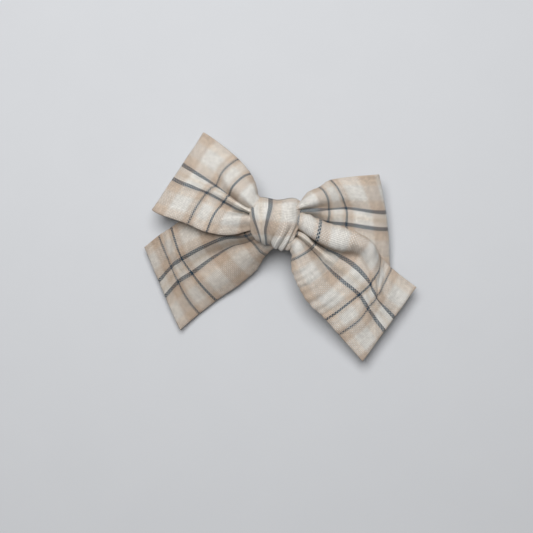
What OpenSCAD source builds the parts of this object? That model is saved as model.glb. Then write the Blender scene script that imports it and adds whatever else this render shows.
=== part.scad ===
// Hair bow. A sewn and turned fabric strip is folded into two loops and two tails,
// gathered at the waist with thread, wrapped by a knot strip and glued to a lined
// alligator clip. +X runs to the viewer's right, +Y up, +Z out of the bow's front.
// The origin is on the clip's jaw line, straight behind the middle of the knot.

/* [Fabric strip] */
// Finished width of the sewn strip that makes the loops and tails
strip_width = 34; // [30:1:36]
// Thickness of the strip, two layers of cloth pressed flat
strip_thickness = 1.6; // [1.2:0.1:1.8]
// Mid-surface radius of the soft fold at the end of each loop
crease_radius = 1.4; // [1.2:0.1:1.6]

/* [Upper left loop] */
// Distance from the knot's middle to the middle of the loop's fold
left_loop_reach = 40.5; // [38:0.5:42]
// Direction of the loop seen from the front, degrees from +X
left_loop_bearing = 150.6; // [149:0.2:153]

/* [Upper right loop] */
// Distance from the knot's middle to the middle of the loop's fold
right_loop_reach = 40; // [38:0.5:41]
// Direction of the loop seen from the front, degrees from +X
right_loop_bearing = 3.2; // [2:0.2:5]

/* [Lower left tail] */
// Distance from the knot's middle to the middle of the tail's end
left_tail_reach = 48.4; // [46:0.2:50]
// Direction of the tail seen from the front, degrees from +X
left_tail_bearing = 209.4; // [208:0.2:211]

/* [Lower right tail] */
// Distance from the knot's middle to the middle of the tail's end
right_tail_reach = 55.6; // [53:0.2:57]
// Direction of the tail seen from the front, degrees from +X
right_tail_bearing = 319.2; // [318:0.2:321]

/* [Knot] */
// Width of the knot strip where it wraps the waist
knot_width = 17; // [14:0.5:17]
// Height of the gathered waist, along Y
waist_height = 12.8; // [12:0.2:13.4]
// Thickness of the gathered waist, along Z
waist_depth = 8.8; // [8:0.2:9]
// Number of turns of gathering thread
thread_turns = 5; // [3:1:6]

/* [Clip] */
// Length of the clip's flat top lever
clip_length = 44; // [42:1:46]
// Width of the clip's levers
clip_width = 8.4; // [8:0.2:9]
// Width of the grosgrain ribbon that lines the clip
ribbon_width = 10; // [9.4:0.1:10.4]
// Number of teeth along each side of the lower jaw
tooth_count = 9; // [6:1:10]

/* [Hidden] */

// Clip: sheet metal and ribbon, stacked in Z from the jaw line up.
sheet = 0.6;
ribbon = 0.4;
lever_z = ribbon + sheet / 2;
clip_top_z = sheet + 2 * ribbon;
clip_tip_x = -clip_length / 2;
clip_tail_x = clip_length / 2;
pivot_x = 7;
pivot_z = -2;
pin_radius = 0.8;
pin_clearance = 0.05;
ear_radius = 1.5;
ear_gap = 0.2;
inner_ear_y = clip_width / 2 - sheet - ear_gap;
rivet_radius = 1.3;
rivet_height = 0.5;
jaw_width = 2 * inner_ear_y;
tooth_height = 0.9;
tooth_pitch = 1.1;
tooth_root = 0.1;
tooth_thickness = 0.6;
// Side view of the bottom lever: jaw, belly under the pivot, handle and flat end.
bottom_lever_path = [
    [clip_tip_x + 0.4, -1.3], [-12, -1.35], [-2, -2.9], [4, -4], [7, -4.3],
    [10, -4.4], [19.5, -6.4], [23.5, -6.4]
];
bottom_lining_path = [for (i = [0:2]) bottom_lever_path[i]];
handle_start_x = 10.6;
top_lining_end_x = 3.5;
lever_corner = 2;

// Spring: a coil round the pin with one leg under the top lever and one on the handle.
wire_radius = 0.3;
coil_radius = 1.35;
coil_half_width = 1.1;
coil_turns = 3;
spring_step = 20;
leg_clearance = 0.04;

// Knot and waist, centred above the clip.
knot_z = 9.8;
wrap_thickness = 1.5;
wrap_gap = 0.15;
wrap_steps = 50;
wrap_lap = 40;
lap_rise = 1.9;
knot_crown = 0.5;
knot_half = knot_width / 2;
waist_half_length = 8.9;
waist_corner = 4;
thread_radius = 0.2;
thread_pitch = 0.45;
groove_depth = 0.5;
glue_gap = 0.05;
end_glue = [10, 3.2, 0.2];
clip_pad = [12, 5];
wrap_back_z = knot_z - waist_depth / 2 - wrap_gap - wrap_thickness;

// Lobes: where the cloth leaves the knot, and the lie of each fold or end.
root_x = 10.2;
left_fold_heading = 146.3;
right_fold_heading = 7.1;
left_end_heading = 200.7;
right_end_heading = 324.5;
rows_out = 18;
rows_fold = 5;
columns = 8;
back_crown = 0.4;

fabric_white = [0.87, 0.85, 0.80];
fabric_peach = [0.83, 0.76, 0.68];
fabric_tan = [0.78, 0.72, 0.64];
thread_white = [0.90, 0.89, 0.86];
glue_clear = [0.86, 0.84, 0.76];
steel = [0.72, 0.73, 0.75];
ribbon_cream = [0.88, 0.84, 0.76];

function unit(v) = v / norm(v);
function lerp(a, b, t) = a + (b - a) * t;
function heading(angle) = [cos(angle), sin(angle)];
function lift(p, z) = [p[0], p[1], z];
function bezier(p, t) =
    pow(1 - t, 3) * p[0] + 3 * pow(1 - t, 2) * t * p[1] + 3 * (1 - t) * t * t * p[2] + pow(t, 3) * p[3];

// One side edge of a lobe, from its root at the knot to a corner of its fold or end.
// It leaves the root along root_heading and arrives square to the fold or end.
function lobe_edge(root, root_heading, root_pull, corner, end_heading, end_pull, z) = [
    lift(root, z[0]),
    lift(root + root_pull * heading(root_heading), z[1]),
    lift(corner - end_pull * heading(end_heading), z[2]),
    lift(corner, z[3])
];

// A corner of a lobe's end: half the strip's width to one side of its middle.
function lobe_corner(reach, bearing, end_heading, side, inset = 0) =
    reach * heading(bearing) - inset * heading(end_heading)
    + side * strip_width / 2 * heading(end_heading - 90);

// Rows of a surface stretched between two edges, raised in the middle by crown.
function lobe_rows(edge_a, edge_b, crown) = [
    for (i = [0:rows_out]) let (t = i / rows_out) [
        for (j = [0:columns]) let (s = j / columns)
            lerp(bezier(edge_a, t), bezier(edge_b, t), s)
            + [0, 0, crown * sin(180 * t) * (1 - pow(2 * s - 1, 2))]
    ]
];

// Rows of the half-round fold that joins the front and back layers of a loop.
function fold_rows(front, back, end_heading) = [
    for (i = [1:rows_fold - 1]) let (a = 180 * i / rows_fold) [
        for (j = [0:columns])
            let (f = front[rows_out][j], b = back[rows_out][j], middle = (f + b) / 2, half = norm(f - b) / 2)
                middle + lift(half * sin(a) * heading(end_heading), half * cos(a))
    ]
];

function reversed(list) = [for (i = [len(list) - 1:-1:0]) list[i]];
function loop_rows(front, back, end_heading) =
    concat(front, fold_rows(front, back, end_heading), reversed(back));

function grid_at(g, i, j) = g[max(0, min(len(g) - 1, i))][max(0, min(len(g[0]) - 1, j))];
function grid_normal(g, i, j) = unit(cross(
    grid_at(g, i + 1, j) - grid_at(g, i - 1, j),
    grid_at(g, i, j + 1) - grid_at(g, i, j - 1)));
function grid_side(g, offset) = [
    for (i = [0:len(g) - 1]) for (j = [0:len(g[0]) - 1]) g[i][j] + offset * grid_normal(g, i, j)
];
function quad(a, b, c, d) = [[a, b, c], [a, c, d]];

// A grid of points thickened by half to each side, closed round its rim.
module cloth_solid(g, thickness) {
    rows = len(g);
    cols = len(g[0]);
    under = rows * cols;
    faces = [
        for (i = [0:rows - 2]) for (j = [0:cols - 2]) let (a = i * cols + j)
            each quad(a, a + 1, a + cols + 1, a + cols),
        for (i = [0:rows - 2]) for (j = [0:cols - 2]) let (a = under + i * cols + j)
            each quad(a, a + cols, a + cols + 1, a + 1),
        for (i = [0:rows - 2]) let (a = i * cols)
            each quad(a, a + cols, under + a + cols, under + a),
        for (i = [0:rows - 2]) let (a = i * cols + cols - 1)
            each quad(a, under + a, under + a + cols, a + cols),
        for (j = [0:cols - 2])
            each quad(j, under + j, under + j + 1, j + 1),
        for (j = [0:cols - 2]) let (a = (rows - 1) * cols + j)
            each quad(a, a + 1, under + a + 1, under + a)
    ];
    polyhedron(concat(grid_side(g, thickness / 2), grid_side(g, -thickness / 2)), faces, convexity = 12);
}

// A round wire along a path of points that stays in planes square to Y or nearly so.
module wire(path, radius, sides) {
    last = len(path) - 1;
    rings = [
        for (i = [0:last])
            let (
                along = unit(path[min(last, i + 1)] - path[max(0, i - 1)]),
                across = unit([0, 1, 0] - along[1] * along),
                out = cross(along, across)
            )
            for (k = [0:sides - 1])
                path[i] + radius * (cos(360 * k / sides) * across + sin(360 * k / sides) * out)
    ];
    faces = [
        [for (k = [0:sides - 1]) k],
        [for (k = [sides - 1:-1:0]) last * sides + k],
        for (i = [0:last - 1]) for (k = [0:sides - 1])
            let (a = i * sides + k, b = i * sides + (k + 1) % sides)
                each quad(a, a + sides, b + sides, b)
    ];
    polyhedron(rings, faces, convexity = 12);
}

// A rounded bar along X, centred on the waist, and a ring that fits closely round it.
module waist_outline(height, depth) {
    r = waist_corner;
    square([depth - 2 * r, height], center = true);
    square([depth, height - 2 * r], center = true);
    for (sx = [-1, 1]) for (sy = [-1, 1])
        translate([sx * (depth / 2 - r), sy * (height / 2 - r)]) circle(r, $fn = 48);
}
module along_waist(from_x, to_x) {
    translate([from_x, 0, knot_z]) rotate([0, 90, 0]) linear_extrude(to_x - from_x) children();
}

// Side view of a bent strip of sheet between two offsets from its middle line.
function path_normal(path, i) =
    let (d = unit(path[min(len(path) - 1, i + 1)] - path[max(0, i - 1)])) [-d[1], d[0]];
function strip_outline(path, low, high) = concat(
    [for (i = [0:len(path) - 1]) path[i] + high * path_normal(path, i)],
    [for (i = [len(path) - 1:-1:0]) path[i] + low * path_normal(path, i)]);
module side_extrude(width, centre_y = 0) {
    translate([0, centre_y + width / 2, 0]) rotate([90, 0, 0]) linear_extrude(width) children();
}

module lower_left_tail() {
    root_top = [-root_x, 2];
    root_low = [-root_x, -4];
    corner_top = lobe_corner(left_tail_reach, left_tail_bearing, left_end_heading, 1);
    corner_low = lobe_corner(left_tail_reach, left_tail_bearing, left_end_heading, -1);
    top_z = [5.6, 3.4, 0, -4.4];
    low_z = [5.6, 4, 0, -5.6];
    crown = 1.2;
    edge_top = lobe_edge(root_top, 150, 12, corner_top, left_end_heading, 14, top_z);
    edge_low = lobe_edge(root_low, 285, 10, corner_low, left_end_heading, 16, low_z);
    color(fabric_tan) cloth_solid(lobe_rows(edge_top, edge_low, crown), strip_thickness);
}

module upper_left_loop() {
    root_top = [-root_x, 7];
    root_low = [-root_x, -2.5];
    corner_top = lobe_corner(left_loop_reach, left_loop_bearing, left_fold_heading, 1, crease_radius);
    corner_low = lobe_corner(left_loop_reach, left_loop_bearing, left_fold_heading, -1, crease_radius);
    fold_top_z = 2.4;
    fold_low_z = 1.8;
    front_top_z = [12.6, 13.6, 9, fold_top_z + crease_radius];
    front_low_z = [12, 12, 7, fold_low_z + crease_radius];
    back_top_z = [9.4, 7.6, 4, fold_top_z - crease_radius];
    back_low_z = [9, 7.4, 3.4, fold_low_z - crease_radius];
    front_crown = 3;
    front = lobe_rows(
        lobe_edge(root_top, 80, 9, corner_top, left_fold_heading, 10, front_top_z),
        lobe_edge(root_low, 200, 10, corner_low, left_fold_heading, 14, front_low_z), front_crown);
    back = lobe_rows(
        lobe_edge(root_top, 80, 9, corner_top, left_fold_heading, 10, back_top_z),
        lobe_edge(root_low, 200, 10, corner_low, left_fold_heading, 14, back_low_z), back_crown);
    color(fabric_white) cloth_solid(loop_rows(front, back, left_fold_heading), strip_thickness);
}

module upper_right_loop() {
    root_top = [root_x, 6.5];
    root_low = [root_x, -3];
    corner_top = lobe_corner(right_loop_reach, right_loop_bearing, right_fold_heading, -1, crease_radius);
    corner_low = lobe_corner(right_loop_reach, right_loop_bearing, right_fold_heading, 1, crease_radius);
    fold_top_z = 1.6;
    fold_low_z = 0.4;
    front_top_z = [10.8, 12, 7.6, fold_top_z + crease_radius];
    front_low_z = [9.4, 8, 5, fold_low_z + crease_radius];
    back_top_z = [7.6, 6, 3, fold_top_z - crease_radius];
    back_low_z = [6.4, 4.6, 1.6, fold_low_z - crease_radius];
    front_crown = 1.8;
    front = lobe_rows(
        lobe_edge(root_top, 70, 8, corner_top, right_fold_heading, 14, front_top_z),
        lobe_edge(root_low, 310, 9, corner_low, right_fold_heading, 14, front_low_z), front_crown);
    back = lobe_rows(
        lobe_edge(root_top, 70, 8, corner_top, right_fold_heading, 14, back_top_z),
        lobe_edge(root_low, 310, 9, corner_low, right_fold_heading, 14, back_low_z), back_crown);
    color(fabric_white) cloth_solid(loop_rows(front, back, right_fold_heading), strip_thickness);
}

module lower_right_tail() {
    root_top = [root_x, 5];
    root_low = [root_x, -4];
    corner_top = lobe_corner(right_tail_reach, right_tail_bearing, right_end_heading, -1);
    corner_low = lobe_corner(right_tail_reach, right_tail_bearing, right_end_heading, 1);
    top_z = [13.4, 14, 8.6, -4.4];
    low_z = [12.2, 10, 3.4, -5.6];
    crown = 2.4;
    edge_top = lobe_edge(root_top, 350, 14, corner_top, right_end_heading, 12, top_z);
    edge_low = lobe_edge(root_low, 250, 13, corner_low, right_end_heading, 18, low_z);
    color(fabric_peach) cloth_solid(lobe_rows(edge_top, edge_low, crown), strip_thickness);
}

module gathered_waist() {
    groove = (thread_turns + 1) * thread_pitch / 2;
    color(fabric_tan) {
        along_waist(-waist_half_length, -groove) waist_outline(waist_height, waist_depth);
        along_waist(-groove, groove)
            waist_outline(waist_height - 2 * groove_depth, waist_depth - 2 * groove_depth);
        along_waist(groove, waist_half_length) waist_outline(waist_height, waist_depth);
    }
}

module gathering_thread() {
    color(thread_white)
        for (i = [0:thread_turns - 1]) {
            x = (i - (thread_turns - 1) / 2) * thread_pitch;
            along_waist(x - thread_radius, x + thread_radius) difference() {
                waist_outline(waist_height - 2 * groove_depth + 4 * thread_radius,
                    waist_depth - 2 * groove_depth + 4 * thread_radius);
                waist_outline(waist_height - 2 * groove_depth, waist_depth - 2 * groove_depth);
            }
        }
}

// The knot strip goes once round the waist and laps over its own end behind it.
module knot_wrap() {
    start_angle = -90 - wrap_lap / 2;
    turn = 360 + wrap_lap;
    half_y = waist_height / 2 + wrap_gap + wrap_thickness / 2;
    half_z = waist_depth / 2 + wrap_gap + wrap_thickness / 2;
    grid = [
        for (i = [0:wrap_steps])
            let (
                gone = turn * i / wrap_steps,
                a = start_angle + gone,
                rise = lap_rise * min(1, max(0, (gone - 300) / 50)),
                front = max(0, sin(a)),
                c = cos(a),
                s = sin(a),
                squareness = pow(pow(abs(c), 3) + pow(abs(s), 3), -1 / 3)
            ) [
                for (j = [0:columns])
                    let (
                        x = lerp(-knot_half, knot_half, j / columns),
                        crown = knot_crown * front * (1 - pow(x / knot_half, 2))
                    )
                    [
                        x,
                        squareness * c * (half_y + rise + crown),
                        knot_z + squareness * s * (half_z + rise + crown)
                    ]
            ]
    ];
    color(fabric_white) cloth_solid(grid, wrap_thickness);
}

// Glue between the knot strip's first turn and the end that laps over it.
module knot_end_glue() {
    color(glue_clear)
        translate([-end_glue[0] / 2, -end_glue[1] / 2, wrap_back_z - 2 * glue_gap - end_glue[2]])
            cube(end_glue);
}

// Glue between the back of the knot and the ribbon on the clip.
module clip_glue_pad() {
    color(glue_clear) translate([-clip_pad[0] / 2, -clip_pad[1] / 2, clip_top_z])
        cube([clip_pad[0], clip_pad[1], wrap_back_z - lap_rise - glue_gap - clip_top_z]);
}

module clip_top_lever() {
    color(steel) difference() {
        union() {
            translate([0, 0, lever_z - sheet / 2]) linear_extrude(sheet) {
                translate([clip_tip_x + lever_corner, -clip_width / 2])
                    square([clip_length - lever_corner, clip_width]);
                translate([clip_tip_x, -clip_width / 2 + lever_corner])
                    square([lever_corner, clip_width - 2 * lever_corner]);
                for (side = [-1, 1])
                    translate([clip_tip_x + lever_corner, side * (clip_width / 2 - lever_corner)])
                        circle(lever_corner, $fn = 48);
            }
            for (side = [-1, 1])
                side_extrude(sheet, side * (clip_width - sheet) / 2) {
                    translate([pivot_x, pivot_z]) circle(ear_radius, $fn = 48);
                    translate([pivot_x - ear_radius, pivot_z])
                        square([2 * ear_radius, lever_z - pivot_z]);
                }
        }
        side_extrude(clip_width + 1) translate([pivot_x, pivot_z]) circle(pin_radius, $fn = 48);
    }
}

module clip_pivot_pin() {
    color(steel) {
        side_extrude(clip_width) translate([pivot_x, pivot_z]) circle(pin_radius, $fn = 48);
        for (side = [-1, 1])
            side_extrude(rivet_height, side * (clip_width + rivet_height) / 2)
                translate([pivot_x, pivot_z]) circle(rivet_radius, $fn = 48);
    }
}

module clip_torsion_spring() {
    turned = 180 + 360 * coil_turns;
    top_leg_end = [pivot_x + 7, coil_half_width, ribbon - wire_radius - leg_clearance];
    low_leg_end = [pivot_x + 6.5, -coil_half_width, -4.3];
    coil = [
        for (a = [0:spring_step:turned]) let (phase = 90 + a)
            [
                pivot_x + coil_radius * cos(phase),
                lerp(coil_half_width, -coil_half_width, a / turned),
                pivot_z + coil_radius * sin(phase)
            ]
    ];
    color(steel) wire(concat([top_leg_end], coil, [low_leg_end]), wire_radius, 8);
}

// The top ribbon runs along the jaw face, round the tip and back along the lever.
module top_ribbon_lining() {
    fold = sheet / 2 + ribbon;
    color(ribbon_cream) side_extrude(ribbon_width) {
        translate([clip_tip_x, 0]) square([top_lining_end_x - clip_tip_x, ribbon]);
        translate([clip_tip_x, lever_z + sheet / 2]) square([clip_tail_x - clip_tip_x, ribbon]);
        translate([clip_tip_x, lever_z]) difference() {
            circle(fold, $fn = 32);
            circle(sheet / 2, $fn = 32);
            translate([0, -fold]) square(2 * fold);
        }
    }
}

module jaw_teeth() {
    base_z = bottom_lever_path[0][1];
    for (side = [-1, 1])
        side_extrude(tooth_thickness, side * (jaw_width - tooth_thickness) / 2)
            for (i = [0:tooth_count - 1])
                translate([bottom_lever_path[0][0] + i * tooth_pitch, base_z + sheet / 2 - tooth_root])
                    polygon([[0, 0], [tooth_pitch, 0], [tooth_pitch / 2, tooth_height + tooth_root]]);
}

module clip_bottom_lever() {
    web_low_z = bottom_lever_path[4][1];
    color(steel) difference() {
        union() {
            intersection() {
                side_extrude(clip_width) polygon(strip_outline(bottom_lever_path, -sheet / 2, sheet / 2));
                translate([0, 0, -10]) linear_extrude(12) {
                    translate([clip_tip_x - 1, -jaw_width / 2])
                        square([handle_start_x - clip_tip_x + 1, jaw_width]);
                    translate([handle_start_x, -clip_width / 2])
                        square([clip_tail_x + 3 - handle_start_x, clip_width]);
                }
            }
            for (side = [-1, 1])
                side_extrude(sheet, side * (jaw_width - sheet) / 2) {
                    translate([pivot_x, pivot_z]) circle(ear_radius, $fn = 48);
                    translate([pivot_x - ear_radius, web_low_z])
                        square([2 * ear_radius, pivot_z - web_low_z]);
                }
            jaw_teeth();
        }
        side_extrude(clip_width + 1)
            translate([pivot_x, pivot_z]) circle(pin_radius + pin_clearance, $fn = 48);
    }
}

module bottom_ribbon_lining() {
    color(ribbon_cream) side_extrude(jaw_width - 2 * tooth_thickness - 0.2)
        polygon(strip_outline(bottom_lining_path, sheet / 2, sheet / 2 + ribbon));
}

lower_left_tail();
upper_right_loop();
upper_left_loop();
lower_right_tail();
gathered_waist();
gathering_thread();
knot_wrap();
knot_end_glue();
clip_glue_pad();
clip_top_lever();
clip_pivot_pin();
clip_torsion_spring();
top_ribbon_lining();
clip_bottom_lever();
bottom_ribbon_lining();
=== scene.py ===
"""Looks of the hair bow: plaid cotton lobes and knot, gathering thread, glue and lined clip.

Shapes are worked out in millimetres in the CAD frame and turned into metres when a mesh is made.
"""

import math

import bpy
import numpy as np
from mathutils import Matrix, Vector


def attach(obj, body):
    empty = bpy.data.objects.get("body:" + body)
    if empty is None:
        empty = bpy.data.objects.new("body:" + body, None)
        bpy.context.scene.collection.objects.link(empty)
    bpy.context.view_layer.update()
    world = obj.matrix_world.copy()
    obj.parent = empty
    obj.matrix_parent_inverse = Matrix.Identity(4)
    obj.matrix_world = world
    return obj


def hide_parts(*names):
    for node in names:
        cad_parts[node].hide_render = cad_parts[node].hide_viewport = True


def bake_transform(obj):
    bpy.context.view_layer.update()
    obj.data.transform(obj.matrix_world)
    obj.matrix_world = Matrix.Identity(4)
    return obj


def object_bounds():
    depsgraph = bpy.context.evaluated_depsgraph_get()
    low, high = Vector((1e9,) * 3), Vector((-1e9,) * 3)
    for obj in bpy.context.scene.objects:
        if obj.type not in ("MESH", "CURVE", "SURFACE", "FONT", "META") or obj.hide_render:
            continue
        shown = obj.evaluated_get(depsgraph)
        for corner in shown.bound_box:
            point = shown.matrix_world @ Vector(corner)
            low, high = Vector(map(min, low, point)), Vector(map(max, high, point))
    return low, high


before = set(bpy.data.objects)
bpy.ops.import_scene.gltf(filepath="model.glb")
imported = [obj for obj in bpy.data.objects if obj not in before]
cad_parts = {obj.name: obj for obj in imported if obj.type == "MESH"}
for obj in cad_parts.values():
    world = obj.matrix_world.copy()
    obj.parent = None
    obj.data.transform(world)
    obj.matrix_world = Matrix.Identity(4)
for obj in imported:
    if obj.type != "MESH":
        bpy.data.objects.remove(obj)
cad_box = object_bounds()

MM = 0.001
rng = np.random.default_rng(7)

# The finished strip, and the woven pattern of its cloth, in millimetres.
STRIP_WIDTH = 34.0
STRIP_THICKNESS = 0.9
HALF_THICKNESS = STRIP_THICKNESS / 2
YARN = 0.475
STRIPE_CENTRE = 17.2
STRIPE_A = STRIPE_CENTRE - 3.15
STRIPE_B = STRIPE_CENTRE + 3.15
REPEAT = 33.4
CLEAN_EDGE = 0.05
SOFT_EDGE = 0.65
# How much shorter or longer than woven the cloth may be before its threads pull.
CLOTH_EASE = 0.09
CLOTH_GIVE = 0.03
# Threads of the cloth's grid: steps along and across it, and how stiff the thread is. The ones
# below 0 only resist bending.
THREADS = [(1, 0, 1), (0, 1, 1), (1, 1, 0.5), (1, -1, 0.5), (2, 0, -0.35), (0, 2, -0.35)]
# Height towards which the layers are squeezed as they go into the knot.
KNOT_Z = 9.8

# Yarn colours.
WHITE = (0.86, 0.86, 0.84)
CREAM = (0.82, 0.75, 0.65)
PEACH = (0.78, 0.67, 0.565)
TAN = (0.63, 0.52, 0.43)
BLUE = (0.020, 0.056, 0.098)

# Colours across the strip, by distance from the middle of its pair of stripes.
ACROSS = [
    (0, CREAM), (0.8, WHITE), (2.4, BLUE), (3.9, TAN), (5.2, PEACH), (7.4, WHITE),
    (13.2, PEACH), (15.6, TAN),
]
# Colours along the strip, by distance from the middle of a pair of crossing stripes.
ALONG = [
    (0, WHITE), (2.0, TAN), (3.25, BLUE), (4.15, TAN), (6.4, WHITE), (12.8, TAN), (18.8, WHITE),
    (25.6, TAN), (29.25, BLUE), (30.15, TAN), (31.4, WHITE),
]


# ---------------------------------------------------------------- surfaces

def spline(knots, values, at):
    """Smooth curve through the values at the knots, along their first axis."""
    knots = np.asarray(knots, float)
    values = np.asarray(values, float)
    slopes = np.gradient(values, knots, axis=0)
    at = np.clip(at, knots[0], knots[-1])
    i = np.clip(np.searchsorted(knots, at, side="right") - 1, 0, len(knots) - 2)
    column = (-1,) + (1,) * (values.ndim - 1)
    h = (knots[i + 1] - knots[i]).reshape(column)
    t = ((at - knots[i]) / (knots[i + 1] - knots[i])).reshape(column)
    return (
        (2 * t**3 - 3 * t**2 + 1) * values[i]
        + (t**3 - 2 * t**2 + t) * h * slopes[i]
        + (3 * t**2 - 2 * t**3) * values[i + 1]
        + (t**3 - t**2) * h * slopes[i + 1]
    )


def even(guides, start, end, bulge=(0, 0, 0), pleat=0.0, waves=2.5):
    """A row of points from start to end, bowed by bulge in the middle, and pleated in waves."""
    s = (np.asarray(guides) / guides[-1])[:, None]
    row = np.array(start) * (1 - s) + np.array(end) * s + 4 * s * (1 - s) * np.array(bulge)
    row[:, 2] += pleat * np.sin(2 * math.pi * waves * s[:, 0])
    return row


def tucked(row, move, squeeze):
    """A row drawn on into the knot: moved along X and squeezed towards the waist's middle."""
    row = np.array(row, float)
    return np.stack(
        [row[:, 0] + move, row[:, 1] * squeeze, KNOT_Z + (row[:, 2] - KNOT_Z) * squeeze], axis=1
    )


def surface(rows, guides, step):
    """Points and cloth coordinates of a smooth surface through rows of given points.

    A row is (cloth length, points). The length is one number, or three where the row lies askew
    in the cloth: at its start, its middle and its end.
    """
    ends = np.array([0, guides[-1] / 2, guides[-1]])
    lengths = np.array([np.broadcast_to(np.asarray(r[0], float), 3) for r in rows])
    middle = lengths.mean(axis=1)
    down = np.linspace(middle[0], middle[-1], int(round((middle[-1] - middle[0]) / step)) + 1)
    across = np.linspace(0, guides[-1], int(round(guides[-1] / step)) + 1)
    points = spline(middle, np.array([r[1] for r in rows]), down)
    points = spline(guides, points.transpose(1, 0, 2), across).transpose(1, 0, 2)
    u = spline(ends, spline(middle, lengths, down).T, across).T
    cloth = np.stack([u, np.broadcast_to(across, u.shape)], axis=2)
    return points, cloth


def springs(shape, cloth, points, freedom):
    """Index pairs, lengths and stiffness of the grid's threads, in sets with no shared point."""
    rows, cols = shape
    index = np.arange(rows * cols).reshape(shape)
    flat = cloth.reshape(-1, 2)
    placed = points.reshape(-1, 3)
    loose = np.broadcast_to(freedom[:, None], shape).reshape(-1)
    made = []
    for di, dj, stiffness in THREADS:
        step = di or dj
        for turn in (0, 1):
            i = np.arange(rows - di)
            j = np.arange(max(0, -dj), cols - max(0, dj))
            if di:
                i = i[(i // step) % 2 == turn]
            else:
                j = j[(j // step) % 2 == turn]
            a = index[np.ix_(i, j)].ravel()
            b = index[np.ix_(i + di, j + dj)].ravel()
            own = np.linalg.norm(flat[a] - flat[b], axis=1)
            drawn = np.linalg.norm(placed[a] - placed[b], axis=1)
            share = (loose[a] + loose[b]) / 2
            made.append((a, b, own * (1 - share) + drawn * share, stiffness))
    return made


def relax(points, cloth, hold, freedom, rounds):
    """Cloth simulation: threads pull to their own length while each point is drawn to its place.

    hold is how hard each point is held, along X, Y and Z. freedom is 1 in rows that are gathered,
    which keep the lengths they were drawn with. A stiffness below 0 only resists bending.
    """
    shape = points.shape[:2]
    made = springs(shape, cloth, points, freedom)
    aim = points.reshape(-1, 3).copy()
    now = aim + rng.normal(0, 0.01, aim.shape)
    hold = hold.reshape(-1, 3)
    for turn in range(rounds):
        for a, b, rest, stiffness in made:
            gap = now[b] - now[a]
            length = np.linalg.norm(gap, axis=1)
            wanted = np.clip(length, rest * (1 - CLOTH_EASE), rest * (1 + CLOTH_GIVE))
            change = abs(stiffness) * (length - wanted) / (2 * length)
            if stiffness < 0:
                change = np.minimum(change, 0)
            now[a] += change[:, None] * gap
            now[b] -= change[:, None] * gap
        now += hold * (aim - now)
    return now.reshape(points.shape)


def hold_field(cloth, xy, z, edge, root):
    """How hard each point of a lobe is held: more along its edges, and wholly in its root rows."""
    rows, cols = cloth.shape[:2]
    field = np.empty((rows, cols, 3))
    field[..., :2] = xy
    field[..., 2] = z
    field[:, [0, -1]] = edge
    field[root] = 1
    return field


def resample(points, cloth, step):
    """The same surface with a point every step along it, and closer points near its two edges."""
    rows, cols = points.shape[:2]
    across = cloth[0, :, 1]
    rim = np.array([0, 0.12, 0.3, 0.55, 0.9])
    inner = np.linspace(1.4, STRIP_WIDTH - 1.4, int(round((STRIP_WIDTH - 2.8) / step)) + 1)
    wide = np.concatenate([rim, inner, STRIP_WIDTH - rim[::-1]])
    middle = cloth[:, :, 0].mean(axis=1)
    down = np.linspace(middle[0], middle[-1], int(round(abs(middle[-1] - middle[0]) / step)) + 1)
    both = np.concatenate([points, cloth], axis=2)
    both = spline(middle, both, down)
    both = spline(across, both.transpose(1, 0, 2), wide).transpose(1, 0, 2)
    return both[..., :3], both[..., 3:]


def soften(points, passes, share):
    """Averages each inner point a little with its neighbours. share says how much, row by row."""
    share = 0.5 * np.broadcast_to(share, len(points))[1:-1, None, None]
    for _ in range(passes):
        mean = (points[2:, 1:-1] + points[:-2, 1:-1] + points[1:-1, 2:] + points[1:-1, :-2]) / 4
        points[1:-1, 1:-1] += share * (mean - points[1:-1, 1:-1])
    return points


def normals(points):
    across = np.gradient(points, axis=1)
    along = np.gradient(points, axis=0)
    n = np.cross(along, across)
    return n / np.maximum(np.linalg.norm(n, axis=2, keepdims=True), 1e-9)


def pucker(points, cloth, height, phase, reach=2.2):
    """Raises small soft wrinkles: ripples across the strip, and scallops where the seams pull.

    reach is how far the scallops run in from the edges.
    """
    u, v = cloth[..., 0], cloth[..., 1]
    drift = 0.9 * np.sin(v * 0.31 + phase) + 0.7 * np.sin(u * 0.13 + 2 * phase)
    ripple = np.sin(u * 1.05 + 1.3 * drift) * (0.5 + 0.5 * np.sin(v * 0.42 + u * 0.08 + phase))
    broad = np.sin(u * 0.37 + v * 0.24 + 3 * phase) * np.sin(v * 0.33 - u * 0.11 + phase)
    edge = np.exp(-np.minimum(v, STRIP_WIDTH - v) / reach)
    fade = np.clip(abs(u) / 22 - 0.2, 0.2, 1)
    scallop = edge * np.sin(u * 2.0 + 1.2 * np.sin(u * 0.4 + phase)) * fade
    rise = height * (0.45 * ripple + 0.7 * broad + 0.7 * scallop)
    return points + rise[..., None] * normals(points)


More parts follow.
